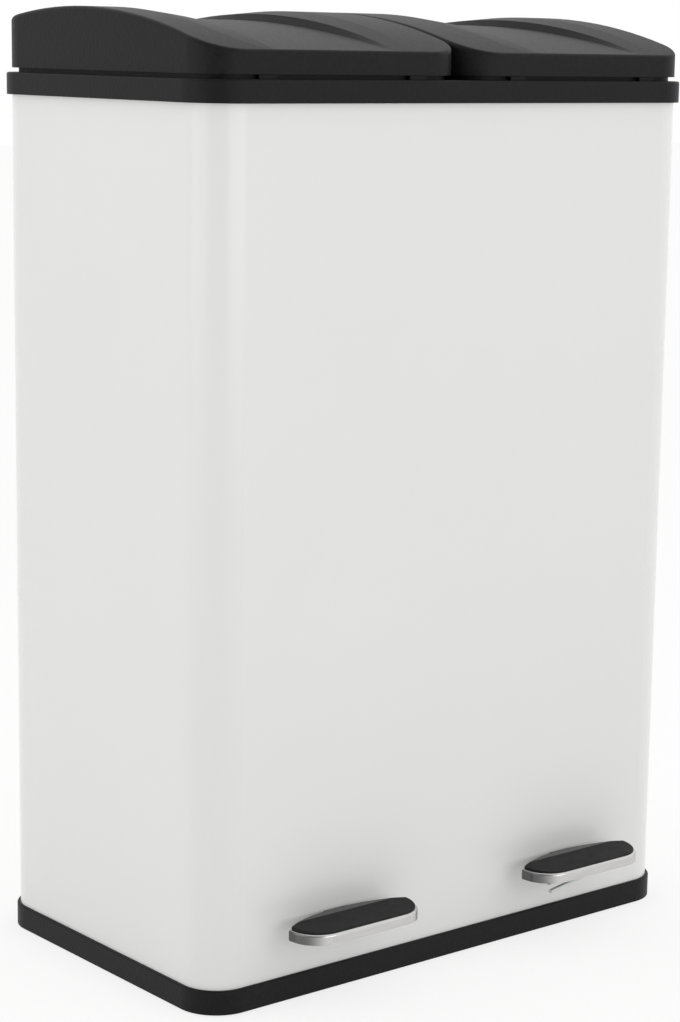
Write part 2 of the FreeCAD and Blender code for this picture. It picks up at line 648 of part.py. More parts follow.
def make_crank_ears():
    """Two plates that hang from the lid and hold the crank pin for the push rod."""
    inner = ROD_END_WIDTH / 2 + CRANK_EAR_GAP
    back = half_d - LID_WALL / 2
    plates = []
    for x0 in (rod_x - inner - CRANK_EAR, rod_x + inner):
        plate = side_block([(crank_y - CRANK_BOSS, crank_z), (crank_y + CRANK_BOSS, crank_z),
                            (crank_y + CRANK_BOSS, lid_bottom + PAST), (back, lid_bottom + CRANK_NOTCH),
                            (back, lid_crest_z), (window_front, lid_crest_z)], x0, x0 + CRANK_EAR)
        plates.append(fuse(plate, x_rod(CRANK_BOSS, x0, x0 + CRANK_EAR, crank_y, crank_z)))
    return plates


def make_knuckles():
    """Knuckles of the lid on both sides of each hinge ear, with the web to the back wall."""
    knuckles = []
    start = HINGE_EAR_WIDTH / 2 + CRANK_EAR_GAP
    wall = half_d - LID_WALL / 2
    for x in hinge_spots():
        for x0 in (x - start - KNUCKLE_WIDTH, x + start):
            web = side_block([(wall, lid_bottom), (hinge_y, hinge_z - KNUCKLE_RADIUS),
                              (hinge_y + KNUCKLE_RADIUS, hinge_z), (hinge_y, hinge_z + KNUCKLE_RADIUS),
                              (wall, hinge_z + KNUCKLE_WEB_RISE)], x0, x0 + KNUCKLE_WIDTH)
            knuckles.append(fuse(web, x_rod(KNUCKLE_RADIUS, x0, x0 + KNUCKLE_WIDTH, hinge_y, hinge_z)))
    return knuckles


def make_hinge_ribs():
    """Ribs under the crown that carry the hinge load into the lid."""
    ribs = []
    back = half_d - LID_WALL / 2
    reach = half_d - HINGE_RIB_LENGTH
    for x in hinge_spots():
        for side in (-1, 1):
            mid = x + side * (HINGE_EAR_WIDTH / 2 + CRANK_EAR_GAP + KNUCKLE_WIDTH / 2)
            ribs.append(side_block([(back, crown_z(half_d) - LID_WALL - 2 * HINGE_RIB_DEPTH),
                                    (back, lid_crest_z), (reach, lid_crest_z),
                                    (reach, crown_z(reach) - LID_WALL - HINGE_RIB / 2)],
                                   mid - HINGE_RIB / 2, mid + HINGE_RIB / 2))
    return ribs


def make_lid():
    outer = lid_plan(0, lid_bottom, lid_crest_z + PAST).common(crown_block(0, lid_bottom))
    top_edges = [e for e in outer.Edges if e.BoundBox.ZMin > lid_bottom + LID_SKIRT / 2]
    outer = outer.makeFillet(LID_EDGE_ROUND, top_edges)
    outer = outer.cut(dish_block(0, 0))
    below = lid_bottom - PAST
    inner = lid_plan(LID_WALL, below, lid_crest_z).common(crown_block(LID_WALL, below))
    inner = inner.cut(dish_block(LID_WALL, LID_WALL))
    shell = outer.cut(inner)
    under_crown = crown_block(LID_WALL / 2, RIM_BOTTOM)
    under_dish = dish_block(0, LID_WALL / 2)
    inside = [part.common(under_crown).cut(under_dish) for part in make_crank_ears() + make_hinge_ribs()]
    lid = fuse(shell, *(inside + make_knuckles()))
    notch_half = ROD_END_WIDTH / 2 + CRANK_EAR_GAP
    notch = box(rod_x - notch_half, rod_x + notch_half, half_d - 2 * LID_WALL, half_d + PAST,
                below, lid_bottom + CRANK_NOTCH)
    reach = notch_half + CRANK_EAR + PAST
    cuts = [notch, x_rod(CRANK_PIN_RADIUS + PRESS_GAP, rod_x - reach, rod_x + reach, crank_y, crank_z)]
    reach = HINGE_EAR_WIDTH / 2 + CRANK_EAR_GAP + KNUCKLE_WIDTH + PAST
    for x in hinge_spots():
        cuts.append(x_rod(HINGE_PIN_RADIUS + PRESS_GAP, x - reach, x + reach, hinge_y, hinge_z))
    return lid.cut(Part.makeCompound(cuts))


def make_hinge_pins():
    half = HINGE_EAR_WIDTH / 2 + CRANK_EAR_GAP + KNUCKLE_WIDTH
    return [x_rod(HINGE_PIN_RADIUS, x - half, x + half, hinge_y, hinge_z) for x in hinge_spots()]


def make_crank_pin():
    half = ROD_END_WIDTH / 2 + CRANK_EAR_GAP + CRANK_EAR
    return x_rod(CRANK_PIN_RADIUS, rod_x - half, rod_x + half, crank_y, crank_z)


# ---- Rods ---------------------------------------------------------------------------------
def swept_rod(points, bend, radius):
    """Round rod along straight runs joined by bends of one radius."""
    path = [V(*p) for p in points]
    edges = []
    start = path[0]
    for i in range(1, len(path) - 1):
        into = (path[i] - path[i - 1]).normalize()
        out = (path[i + 1] - path[i]).normalize()
        turn = math.acos(max(-1.0, min(1.0, into.dot(out))))
        back = bend * math.tan(turn / 2)
        first = path[i] - into * back
        last = path[i] + out * back
        inward = (out - into).normalize()
        middle = path[i] + inward * (bend / math.cos(turn / 2) - bend)
        edges.append(Part.LineSegment(start, first).toShape())
        edges.append(Part.Arc(first, middle, last).toShape())
        start = last
    edges.append(Part.LineSegment(start, path[-1]).toShape())
    spine = Part.Wire(edges)
    ring = Part.Wire([Part.Circle(path[0], (path[1] - path[0]).normalize(), radius).toShape()])
    return spine.makePipeShell([ring], True, False)


def make_push_rod():
    top = crank_z - CRANK_PIN_RADIUS - ROD_END_SLOT_GAP - ROD_END_WALL - ROD_SOCKET_FLOOR
    foot_end = pedal_x - LEVER_WIDTH / 2 - ROD_FOOT_PAST
    return swept_rod([(rod_x, rod_y, top), (rod_x, rod_y, rod_foot_z), (foot_end, rod_y, rod_foot_z)],
                     ROD_BEND, ROD_RADIUS)


def make_rod_end():
    """Moulded head on the push rod: a cross slot carries the crank pin and lets it swing."""
    half_x = ROD_END_WIDTH / 2
    slot_y = crank_y - crank_swing / 2
    half_slot = crank_swing / 2 + CRANK_PIN_RADIUS + ROD_END_SLOT_GAP
    half_high = CRANK_PIN_RADIUS + ROD_END_SLOT_GAP
    wall = ROD_END_WALL
    long = half_slot + wall
    high = half_high + wall
    head = plan_block(-long, long, -high, high, half_high, 0, ROD_END_WIDTH)
    slot = plan_block(-half_slot, half_slot, -half_high, half_high, half_high, 0, ROD_END_WIDTH)
    eye = head.cut(slot)
    eye.rotate(V(0, 0, 0), V(1, 1, 1), 120)
    eye.translate(V(rod_x - half_x, slot_y, crank_z))
    top = crank_z - half_high - wall
    socket = z_rod(ROD_SOCKET_RADIUS, rod_x, rod_y, top - ROD_SOCKET, top + wall / 2)
    bore = z_rod(ROD_RADIUS + PRESS_GAP, rod_x, rod_y, top - ROD_SOCKET, top - ROD_SOCKET_FLOOR)
    return fuse(eye, socket).cut(bore)


def make_rod_guide():
    """Guide block on the inside of the back wall, open to the front for snapping in the rod."""
    half = GUIDE_WIDTH / 2
    tall = GUIDE_TALL / 2
    front = rod_y - ROD_RADIUS - GUIDE_WALL
    low = GUIDE_HEIGHT - tall
    high = GUIDE_HEIGHT + tall
    block = plan_block(rod_x - half, rod_x + half, front, sheet_in_d, GUIDE_CORNER, low, high)
    pad_half = GUIDE_PAD_WIDTH / 2
    pad = plan_block(rod_x - pad_half, rod_x + pad_half, sheet_in_d - GUIDE_WALL, sheet_in_d,
                     GUIDE_PAD_CORNER, low, high)
    bore = z_rod(ROD_RADIUS + GUIDE_GAP, rod_x, rod_y, low, high)
    throat_half = GUIDE_THROAT / 2
    throat = box(rod_x - throat_half, rod_x + throat_half, front - PAST, rod_y, low, high)
    return fuse(block, pad).cut(bore).cut(throat)


# ---- Pedals -------------------------------------------------------------------------------
def tread_plan(inset, z0, z1):
    """Pedal outline: straight front with round corners, and an arched rear edge."""
    half = TREAD_WIDTH / 2 - inset
    front = front_face - TREAD_FRONT + inset
    back = front_face - TREAD_BACK_GAP - inset
    corner = TREAD_CORNER - inset
    body = plan_block(pedal_x - half, pedal_x + half, front, back + PAST, [corner, corner, PAST, PAST],
                      z0, z1)
    bow = TREAD_REAR_BOW
    arc_radius = (TREAD_WIDTH ** 2 / 4 + bow ** 2) / (2 * bow) - inset
    disc = z_rod(arc_radius, pedal_x, back - arc_radius, z0, z1)
    shape = body.common(disc)
    upright = [e for e in shape.Edges if e.BoundBox.XLength + e.BoundBox.YLength < SAME]
    rear = [e for e in upright if e.CenterOfMass.y > front + corner + PAST]
    rear = [e for e in rear if abs(abs(e.CenterOfMass.x - pedal_x) - half) < SAME]
    return shape.makeFillet(TREAD_REAR_CORNER - inset, rear)


def web_line_z(y):
    """Height of the web's top at y: level under the tread, then sloping to the rear."""
    if y <= level_end_y:
        return web_top
    return web_top - LEVER_TAIL_DROP * (y - level_end_y) / (hinge_y - level_end_y)


def make_tread():
    low = TREAD_TOP - TREAD_SKIRT
    outer = tread_plan(0, low, TREAD_TOP)
    outer = outer.makeFillet(TREAD_EDGE_ROUND, flat_edges_at(outer, TREAD_TOP))
    inner = tread_plan(TREAD_SHEET, low - PAST, tread_under)
    tread = outer.cut(inner)
    rear_open = box(pedal_x - LEVER_WIDTH / 2 - CHEEK_GAP, pedal_x + LEVER_WIDTH / 2 + CHEEK_GAP,
                    front_face - TREAD_FRONT / 2, front_face, low - PAST, tread_under)
    holes = [z_rod(RIVET_RADIUS + PRESS_GAP, pedal_x, y, low, TREAD_TOP + PAST) for y in rivet_spots()]
    return tread.cut(Part.makeCompound([rear_open] + holes))


def make_pad():
    """Moulded pad with one long ridge: its front face falls to the tread's bright edge."""
    ridge_y = front_face - PAD_RIDGE
    front = front_face - TREAD_FRONT
    block = tread_plan(PAD_INSET, TREAD_TOP, TREAD_TOP + 2 * PAD_RIDGE_RISE)
    below = TREAD_TOP - PAST
    profile = side_block([(front, below), (front, TREAD_TOP + PAD_FRONT_RISE),
                          (ridge_y, TREAD_TOP + PAD_RIDGE_RISE), (front_face, TREAD_TOP + PAD_REAR_RISE),
                          (front_face, below)], pedal_x - TREAD_WIDTH, pedal_x + TREAD_WIDTH)
    pad = block.common(profile)
    across = [e for e in pad.Edges if e.BoundBox.YLength < SAME and e.BoundBox.XLength > TREAD_WIDTH / 2]
    ridge = [e for e in across if abs(e.CenterOfMass.y - ridge_y) < SAME]
    pad = pad.makeFillet(PAD_RIDGE_ROUND, ridge)
    low = TREAD_TOP + PAD_FRONT_RISE / 2
    outline = []
    for e in pad.Edges:
        span = e.BoundBox
        is_crease = span.YLength < SAME and e.CenterOfMass.y > front + PAD_INSET + SAME
        is_upright = span.XLength + span.YLength < 2 * SAME
        if span.ZMin > low and not is_crease and not is_upright:
            outline.append(e)
    return pad.makeFillet(PAD_EDGE_ROUND, outline)


def rivet_spots():
    return [rivet_first_y, rivet_first_y + RIVET_PITCH]


def make_lever():
    """Pressed lever: a level tongue under the tread, then a channel back to the rod."""
    half = LEVER_WIDTH / 2
    tail_y = rod_y + LEVER_TAIL
    start = flange_start_y
    t = LEVER_WEB
    tail_z = web_line_z(tail_y)
    left = pedal_x - half
    right = pedal_x + half
    web = side_block([(lever_nose_y, web_top), (level_end_y, web_top), (tail_y, tail_z),
                      (tail_y, tail_z - t), (level_end_y, web_top - t), (lever_nose_y, web_top - t)],
                     left, right)
    depth = LEVER_FLANGE_DEPTH
    low_start = start + depth
    flange_line = [(start, web_line_z(start) - t / 2), (tail_y, tail_z - t / 2),
                   (tail_y, tail_z - t - depth), (low_start, web_line_z(low_start) - t - depth)]
    flanges = [side_block(flange_line, left, left + LEVER_FLANGE),
               side_block(flange_line, right - LEVER_FLANGE, right)]
    lever = fuse(web, *flanges)
    hole_y = rod_y - rod_foot_shift / 2
    cuts = [x_rod(PIVOT_PIN_RADIUS + RUN_GAP, left - PAST, right + PAST, PIVOT_Y, PIVOT_Z),
            x_rod(ROD_RADIUS + ROD_HOLE_GAP, left - PAST, right + PAST, hole_y, rod_foot_z)]
    for y in rivet_spots():
        cuts.append(z_rod(RIVET_RADIUS + PRESS_GAP, pedal_x, y, web_bottom - PAST, web_top + PAST))
    return lever.cut(Part.makeCompound(cuts))


def make_rivets():
    rivets = []
    for y in rivet_spots():
        head = Part.makeCone(RIVET_HEAD_SMALL, RIVET_HEAD_RADIUS, RIVET_HEAD,
                             V(pedal_x, y, web_bottom - RIVET_HEAD))
        rivets.append(fuse(head, z_rod(RIVET_RADIUS, pedal_x, y, web_bottom, TREAD_TOP)))
    return rivets


def make_pivot_pin():
    inside = pedal_x - LEVER_WIDTH / 2 - CHEEK_GAP - CHEEK_WALL
    outside = pedal_x + LEVER_WIDTH / 2 + CHEEK_GAP + CHEEK_WALL
    shank = x_rod(PIVOT_PIN_RADIUS, inside - PIVOT_HEAD, outside, PIVOT_Y, PIVOT_Z)
    return fuse(shank, x_rod(PIVOT_HEAD_RADIUS, outside, outside + PIVOT_HEAD, PIVOT_Y, PIVOT_Z))


def make_wire_clip():
    """Round clip under the tread, beside the lever's web."""
    post = z_rod(CLIP_RADIUS, clip_x, clip_y, clip_foot, tread_under)
    bore = z_rod(WIRE_RADIUS + RUN_GAP, clip_x, clip_y, clip_foot, clip_foot + WIRE_RISE + FIT_GAP)
    return post.cut(bore)


def make_stay_wire():
    level = clip_foot - WIRE_DROP - WIRE_RADIUS
    a = math.radians(180 + WIRE_AHEAD)
    tip = (clip_x + WIRE_REACH * math.cos(a), clip_y + WIRE_REACH * math.sin(a), level)
    path = [(clip_x, clip_y, clip_foot + WIRE_RISE), (clip_x, clip_y, level), tip]
    return swept_rod(path, WIRE_BEND, WIRE_RADIUS)


# ---- Buckets and screws ---------------------------------------------------------------------
def bucket_ring(inset, lean, corner, z):
    step = inset + lean
    return plan_wire(BUCKET_INNER_X + step, bucket_outer_x - step,
                     bucket_front_y + step, bucket_rear_y - step, [corner] * 4, z)


def make_bucket():
    top = rim_top
    outer = Part.makeLoft([bucket_ring(0, BUCKET_TAPER, BUCKET_CORNER, BUCKET_FLOOR),
                           bucket_ring(0, 0, BUCKET_CORNER, top)], True, True)
    corner = BUCKET_CORNER - BUCKET_WALL
    rise = (top - BUCKET_FLOOR - BUCKET_WALL) / (top - BUCKET_FLOOR)
    inner = Part.makeLoft([bucket_ring(BUCKET_WALL, BUCKET_TAPER * rise, corner, BUCKET_FLOOR + BUCKET_WALL),
                           bucket_ring(BUCKET_WALL, 0, corner, top)], True, True)
    f = BUCKET_FLANGE
    flange = plan_block(BUCKET_INNER_X - f, bucket_outer_x + f, bucket_front_y - f, bucket_rear_y + f,
                        BUCKET_CORNER + f, top - BUCKET_FLANGE_THICK, top)
    bead_top = top - BUCKET_BEAD_DROP
    bead = plan_block(BUCKET_INNER_X, bucket_outer_x, bucket_front_y, bucket_rear_y, BUCKET_CORNER,
                      bead_top - BUCKET_BEAD_HEIGHT, bead_top)
    bucket = fuse(outer, flange, bead).cut(inner)
    mid = (BUCKET_INNER_X + bucket_outer_x) / 2
    grip = Part.Face(plan_wire(-GRIP_WIDTH / 2, GRIP_WIDTH / 2, -GRIP_HEIGHT / 2, GRIP_HEIGHT / 2,
                               [GRIP_HEIGHT / 2 - 0.01] * 4, 0))
    grip.rotate(V(0, 0, 0), V(1, 0, 0), 90)
    grip.translate(V(mid, bucket_rear_y + f, top - GRIP_DROP - GRIP_HEIGHT / 2))
    return bucket.cut(grip.extrude(V(0, -(bucket_rear_y - bucket_front_y) - 2 * f, 0)))


def make_screws(z):
    """Pan-head screws through the back of the sheet, with a cross recess."""
    screws = []
    for x in screw_spots():
        shank = y_rod(SCREW_RADIUS, x, half_d - SCREW_LENGTH, half_d, z)
        head = y_rod(SCREW_HEAD_RADIUS, x, half_d, half_d + SCREW_HEAD, z)
        edge = [e for e in head.Edges if e.BoundBox.YMin > half_d + SCREW_HEAD / 2]
        head = head.makeFillet(SCREW_HEAD_ROUND, edge)
        arm = SCREW_CROSS / 2
        slot = SCREW_CROSS_SLOT / 2
        deep = half_d + SCREW_HEAD - SCREW_RECESS
        over = half_d + SCREW_HEAD + PAST
        cross = fuse(box(x - arm, x + arm, deep, over, z - slot, z + slot),
                     box(x - slot, x + slot, deep, over, z - arm, z + arm))
        screws.append(fuse(shank, head).cut(cross))
    return screws


# ---- Build ------------------------------------------------------------------------------------
os.makedirs("parts", exist_ok=True)

save("body_shell", make_body_shell())
save("base_tray", make_base())
save("base_feet", *make_feet())
save("top_rim", make_rim())
save("base_screws", *make_screws(BASE_SCREW_Z))
save("rim_screws", *make_screws(RIM_SCREW_Z))

paired = {
    "lid": [make_lid()],
    "hinge_pins": make_hinge_pins(),
    "crank_pin": [make_crank_pin()],
    "lid_bumpers": make_bumpers(),
    "push_rod": [make_push_rod()],
    "rod_end": [make_rod_end()],
    "rod_guide": [make_rod_guide()],
    "slot_liner": [make_slot_liner()],
    "pedal_lever": [make_lever()],
    "pedal_tread": [make_tread()],
    "pedal_pad": [make_pad()],
    "pedal_rivets": make_rivets(),
    "pivot_pin": [make_pivot_pin()],
    "bucket": [make_bucket()],
}
for name, solids in paired.items():
    save("right_" + name, *solids)
    save("left_" + name, *[other_side(s) for s in solids])

save("wire_clip", make_wire_clip())
save("stay_wire", make_stay_wire())

print("hinge axis Y %.3f Z %.3f" % (hinge_y, hinge_z))
print("pivot Y %.3f Z %.3f, pedal angle %.4f" % (PIVOT_Y, PIVOT_Z, pedal_angle))
print("rod lift %.4f, crank radius %.4f, rod at X %.3f Y %.3f" % (rod_lift, crank_radius, rod_x, rod_y))
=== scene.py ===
import math

import bpy
from mathutils import Matrix, Vector

# Twin pedal bin in its working finish: stove-enamelled sheet-steel body, grained black
# polypropylene lids, rim and base, brushed stainless treads with glossy black pads.
# Everything is in metres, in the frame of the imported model.

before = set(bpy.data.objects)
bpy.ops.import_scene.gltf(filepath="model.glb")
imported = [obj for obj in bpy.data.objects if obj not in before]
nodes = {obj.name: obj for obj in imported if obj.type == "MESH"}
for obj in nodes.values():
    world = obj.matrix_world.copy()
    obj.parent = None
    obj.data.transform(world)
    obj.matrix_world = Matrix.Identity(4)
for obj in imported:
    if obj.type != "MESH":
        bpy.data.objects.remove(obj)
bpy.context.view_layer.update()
MM = 0.001


# ---- Shader tools ---------------------------------------------------------------------------
def linear(hex_colour):
    """sRGB hex, such as "E4E5E3", as a linear colour with alpha."""
    made = []
    for i in (0, 2, 4):
        c = int(hex_colour[i:i + 2], 16) / 255
        made.append(c / 12.92 if c <= 0.04045 else ((c + 0.055) / 1.055) ** 2.4)
    return (*made, 1.0)


def per_metre(pitch_mm):
    """Scale of a pattern whose features lie pitch_mm apart."""
    return 1 / (pitch_mm * MM)


def add_node(tree, kind, fields=None, inputs=None):
    """Adds a node, sets its fields, and sets or links its inputs by name or number."""
    made = tree.nodes.new(kind)
    for name, value in (fields or {}).items():
        setattr(made, name, value)
    for name, value in (inputs or {}).items():
        if isinstance(value, bpy.types.NodeSocket):
            tree.links.new(value, made.inputs[name])
        else:
            made.inputs[name].default_value = value
    return made


def new_material(name):
    """An empty material, its node tree and the frame's coordinates in metres."""
    made = bpy.data.materials.new(name)
    made.use_nodes = True
    made.node_tree.nodes.clear()
    place = add_node(made.node_tree, "ShaderNodeTexCoord")
    return made, made.node_tree, place.outputs["Object"]


# ---- Materials ------------------------------------------------------------------------------
def white_stove_enamel():
    """Sprayed and stoved enamel on sheet steel: an even white with a satin gloss that mirrors
    the pads softly, over a very shallow orange-peel waviness."""
    enamel, tree, place = new_material("white_stove_enamel")
    cloud = add_node(tree, "ShaderNodeTexNoise",
                     inputs={"Vector": place, "Scale": per_metre(140), "Detail": 2.0})
    tint = add_node(tree, "ShaderNodeMix", {"data_type": "RGBA"},
                    {0: cloud.outputs["Fac"], 6: linear("DEDEDD"), 7: linear("E1E1E0")})
    # Orange peel is about 4 mm from crest to crest on sprayed sheet.
    peel = add_node(tree, "ShaderNodeTexNoise",
                    inputs={"Vector": place, "Scale": per_metre(4.0), "Detail": 1.0})
    bump = add_node(tree, "ShaderNodeBump",
                    inputs={"Height": peel.outputs["Fac"], "Distance": 0.004 * MM})
    coat = add_node(tree, "ShaderNodeBsdfPrincipled",
                    inputs={"Base Color": tint.outputs[2], "Roughness": 0.24, "IOR": 1.5,
                            "Normal": bump.outputs["Normal"]})
    add_node(tree, "ShaderNodeOutputMaterial", inputs={"Surface": coat.outputs["BSDF"]})
    return enamel


def grained_polypropylene():
    """Injection-moulded black polypropylene from a spark-eroded tool: a fine matt grain that
    turns grey where it is seen at a low angle."""
    plastic, tree, place = new_material("grained_polypropylene")
    # The tool's grain is about 0.6 mm; it is drawn at 2.4 mm, so that it shows at all.
    grain = add_node(tree, "ShaderNodeTexNoise",
                     inputs={"Vector": place, "Scale": per_metre(2.4), "Detail": 3.0, "Roughness": 0.7})
    tint = add_node(tree, "ShaderNodeMix", {"data_type": "RGBA"},
                    {0: grain.outputs["Fac"], 6: linear("020203"), 7: linear("1D1D1E")})
    matt = add_node(tree, "ShaderNodeMapRange",
                    inputs={"Value": grain.outputs["Fac"], "To Min": 0.40, "To Max": 0.58})
    bump = add_node(tree, "ShaderNodeBump",
                    inputs={"Height": grain.outputs["Fac"], "Distance": 0.22 * MM, "Strength": 1.0})
    surface = add_node(tree, "ShaderNodeBsdfPrincipled",
                       inputs={"Base Color": tint.outputs[2], "Roughness": matt.outputs["Result"],
                               "IOR": 1.49, "Specular IOR Level": 0.16, "Normal": bump.outputs["Normal"]})
    add_node(tree, "ShaderNodeOutputMaterial", inputs={"Surface": surface.outputs["BSDF"]})
    return plastic


def polished_and_grained_abs():
    """Moulded black ABS of the pads: the long front face, where the shoe treads, has a dull
    grain, and the narrow rear face comes from a polished part of the tool and mirrors the
    white wall."""
    plastic, tree, place = new_material("polished_and_grained_abs")
    facing = add_node(tree, "ShaderNodeTexCoord")
    turned = add_node(tree, "ShaderNodeSeparateXYZ", inputs={"Vector": facing.outputs["Normal"]})
    rear = add_node(tree, "ShaderNodeMapRange", {"interpolation_type": "SMOOTHSTEP"},
                    {"Value": turned.outputs["Y"], "From Min": -0.03, "From Max": 0.04})
    scuff = add_node(tree, "ShaderNodeTexNoise",
                     inputs={"Vector": place, "Scale": per_metre(9.0), "Detail": 4.0, "Roughness": 0.7})
    gloss = add_node(tree, "ShaderNodeMapRange",
                     inputs={"Value": scuff.outputs["Fac"], "To Min": 0.07, "To Max": 0.16})
    dull = add_node(tree, "ShaderNodeMapRange",
                    inputs={"Value": scuff.outputs["Fac"], "To Min": 0.55, "To Max": 0.75})
    finish = add_node(tree, "ShaderNodeMix", {"data_type": "FLOAT"},
                      {0: rear.outputs["Result"], 2: dull.outputs["Result"], 3: gloss.outputs["Result"]})
    grain = add_node(tree, "ShaderNodeTexNoise",
                     inputs={"Vector": place, "Scale": per_metre(0.9), "Detail": 2.0})
    bump = add_node(tree, "ShaderNodeBump",
                    inputs={"Height": grain.outputs["Fac"], "Distance": 0.02 * MM})
    surface = add_node(tree, "ShaderNodeBsdfPrincipled",
                       inputs={"Base Color": linear("0A0A0B"), "Roughness": finish.outputs[0],
                               "IOR": 1.53, "Specular IOR Level": 0.27, "Normal": bump.outputs["Normal"]})
    add_node(tree, "ShaderNodeOutputMaterial", inputs={"Surface": surface.outputs["BSDF"]})
    return plastic


def brushed_stainless():
    """Stainless sheet, brushed along the tread's width: fine streaks that stretch the
    highlights across the grain, with painted shade on the skirt's ends."""
    steel, tree, place = new_material("brushed_stainless")
    along = add_node(tree, "ShaderNodeMapping", inputs={"Vector": place, "Scale": (0.02, 1.0, 1.0)})
    # Brush lines are 0.1 mm apart on the sheet; they are drawn at 0.5 mm, so that they show.
    streak = add_node(tree, "ShaderNodeTexNoise",
                      inputs={"Vector": along.outputs["Vector"], "Scale": per_metre(0.5), "Detail": 3.0,
                              "Roughness": 0.65})
    tint = add_node(tree, "ShaderNodeMix", {"data_type": "RGBA"},
                    {0: streak.outputs["Fac"], 6: linear("B4B3B2"), 7: linear("DAD9D8")})
    # Painted shade: where the skirt's drawn ends face along X, the colour is mixed towards a dark grey,
    # which stands in for the dark they mirror.
    facing = add_node(tree, "ShaderNodeTexCoord")
    turned = add_node(tree, "ShaderNodeSeparateXYZ", inputs={"Vector": facing.outputs["Normal"]})
    aside = add_node(tree, "ShaderNodeMath", {"operation": "ABSOLUTE"}, {0: turned.outputs["X"]})
    end = add_node(tree, "ShaderNodeMapRange", {"interpolation_type": "SMOOTHSTEP"},
                   {"Value": aside.outputs[0], "From Min": 0.30, "From Max": 0.90, "To Max": 0.85})
    # Painted shade: the brushed tint goes towards dark grey 444445 on the skirt's ends.
    painted_shade_tint = add_node(tree, "ShaderNodeMix", {"data_type": "RGBA"},
                      {0: end.outputs["Result"], 6: tint.outputs[2], 7: linear("444445")})
    finish = add_node(tree, "ShaderNodeMapRange",
                      inputs={"Value": streak.outputs["Fac"], "To Min": 0.16, "To Max": 0.32})
    bump = add_node(tree, "ShaderNodeBump",
                    inputs={"Height": streak.outputs["Fac"], "Distance": 0.01 * MM, "Strength": 0.6})
    surface = add_node(tree, "ShaderNodeBsdfPrincipled",
                       inputs={"Base Color": painted_shade_tint.outputs[2], "Metallic": 1.0,
                               "Roughness": finish.outputs["Result"], "Anisotropic": 0.5,
                               "Normal": bump.outputs["Normal"]})
    add_node(tree, "ShaderNodeOutputMaterial", inputs={"Surface": surface.outputs["BSDF"]})
    return steel


def zinc_plated_steel():
    """Bright zinc plate on pressed and drawn steel: bluish silver with a faint cloudiness."""
    zinc, tree, place = new_material("zinc_plated_steel")
    cloud = add_node(tree, "ShaderNodeTexNoise",
                     inputs={"Vector": place, "Scale": per_metre(6.0), "Detail": 3.0, "Roughness": 0.6})
    tint = add_node(tree, "ShaderNodeMix", {"data_type": "RGBA"},
                    {0: cloud.outputs["Fac"], 6: linear("B4B6B8"), 7: linear("D6D7D8")})
    finish = add_node(tree, "ShaderNodeMapRange",
                      inputs={"Value": cloud.outputs["Fac"], "To Min": 0.26, "To Max": 0.42})
    surface = add_node(tree, "ShaderNodeBsdfPrincipled",
                       inputs={"Base Color": tint.outputs[2], "Metallic": 1.0,
                               "Roughness": finish.outputs["Result"]})
    add_node(tree, "ShaderNodeOutputMaterial", inputs={"Surface": surface.outputs["BSDF"]})
    return zinc


def black_nylon():
    """Moulded nylon of the guides, rod ends, liners and clip: black with a waxy sheen."""
    nylon, tree, place = new_material("black_nylon")
    haze = add_node(tree, "ShaderNodeTexNoise",
                    inputs={"Vector": place, "Scale": per_metre(3.0), "Detail": 2.0})
    finish = add_node(tree, "ShaderNodeMapRange",
                      inputs={"Value": haze.outputs["Fac"], "To Min": 0.38, "To Max": 0.52})
    skin = add_node(tree, "ShaderNodeTexNoise",
                    inputs={"Vector": place, "Scale": per_metre(0.8), "Detail": 2.0})
    bump = add_node(tree, "ShaderNodeBump",
                    inputs={"Height": skin.outputs["Fac"], "Distance": 0.01 * MM})
    surface = add_node(tree, "ShaderNodeBsdfPrincipled",
                       inputs={"Base Color": linear("101011"), "Roughness": finish.outputs["Result"],
                               "IOR": 1.53, "Specular IOR Level": 0.4, "Normal": bump.outputs["Normal"]})
    add_node(tree, "ShaderNodeOutputMaterial", inputs={"Surface": surface.outputs["BSDF"]})
    return nylon


def grey_bucket_polypropylene():
    """Moulded polypropylene of the buckets: dark grey, smooth, with faint flow marks that
    run up the walls."""
    plastic, tree, place = new_material("grey_bucket_polypropylene")
    tall = add_node(tree, "ShaderNodeMapping", inputs={"Vector": place, "Scale": (1.0, 1.0, 0.15)})
    flow = add_node(tree, "ShaderNodeTexNoise",
                    inputs={"Vector": tall.outputs["Vector"], "Scale": per_metre(30.0), "Detail": 2.0})
    tint = add_node(tree, "ShaderNodeMix", {"data_type": "RGBA"},
                    {0: flow.outputs["Fac"], 6: linear("36383A"), 7: linear("45474A")})
    finish = add_node(tree, "ShaderNodeMapRange",
                      inputs={"Value": flow.outputs["Fac"], "To Min": 0.38, "To Max": 0.52})
    skin = add_node(tree, "ShaderNodeTexNoise",
                    inputs={"Vector": place, "Scale": per_metre(1.0), "Detail": 2.0})
    bump = add_node(tree, "ShaderNodeBump",
                    inputs={"Height": skin.outputs["Fac"], "Distance": 0.01 * MM})
    surface = add_node(tree, "ShaderNodeBsdfPrincipled",
                       inputs={"Base Color": tint.outputs[2], "Roughness": finish.outputs["Result"],
                               "IOR": 1.49, "Specular IOR Level": 0.45, "Normal": bump.outputs["Normal"]})
    add_node(tree, "ShaderNodeOutputMaterial", inputs={"Surface": surface.outputs["BSDF"]})
    return plastic


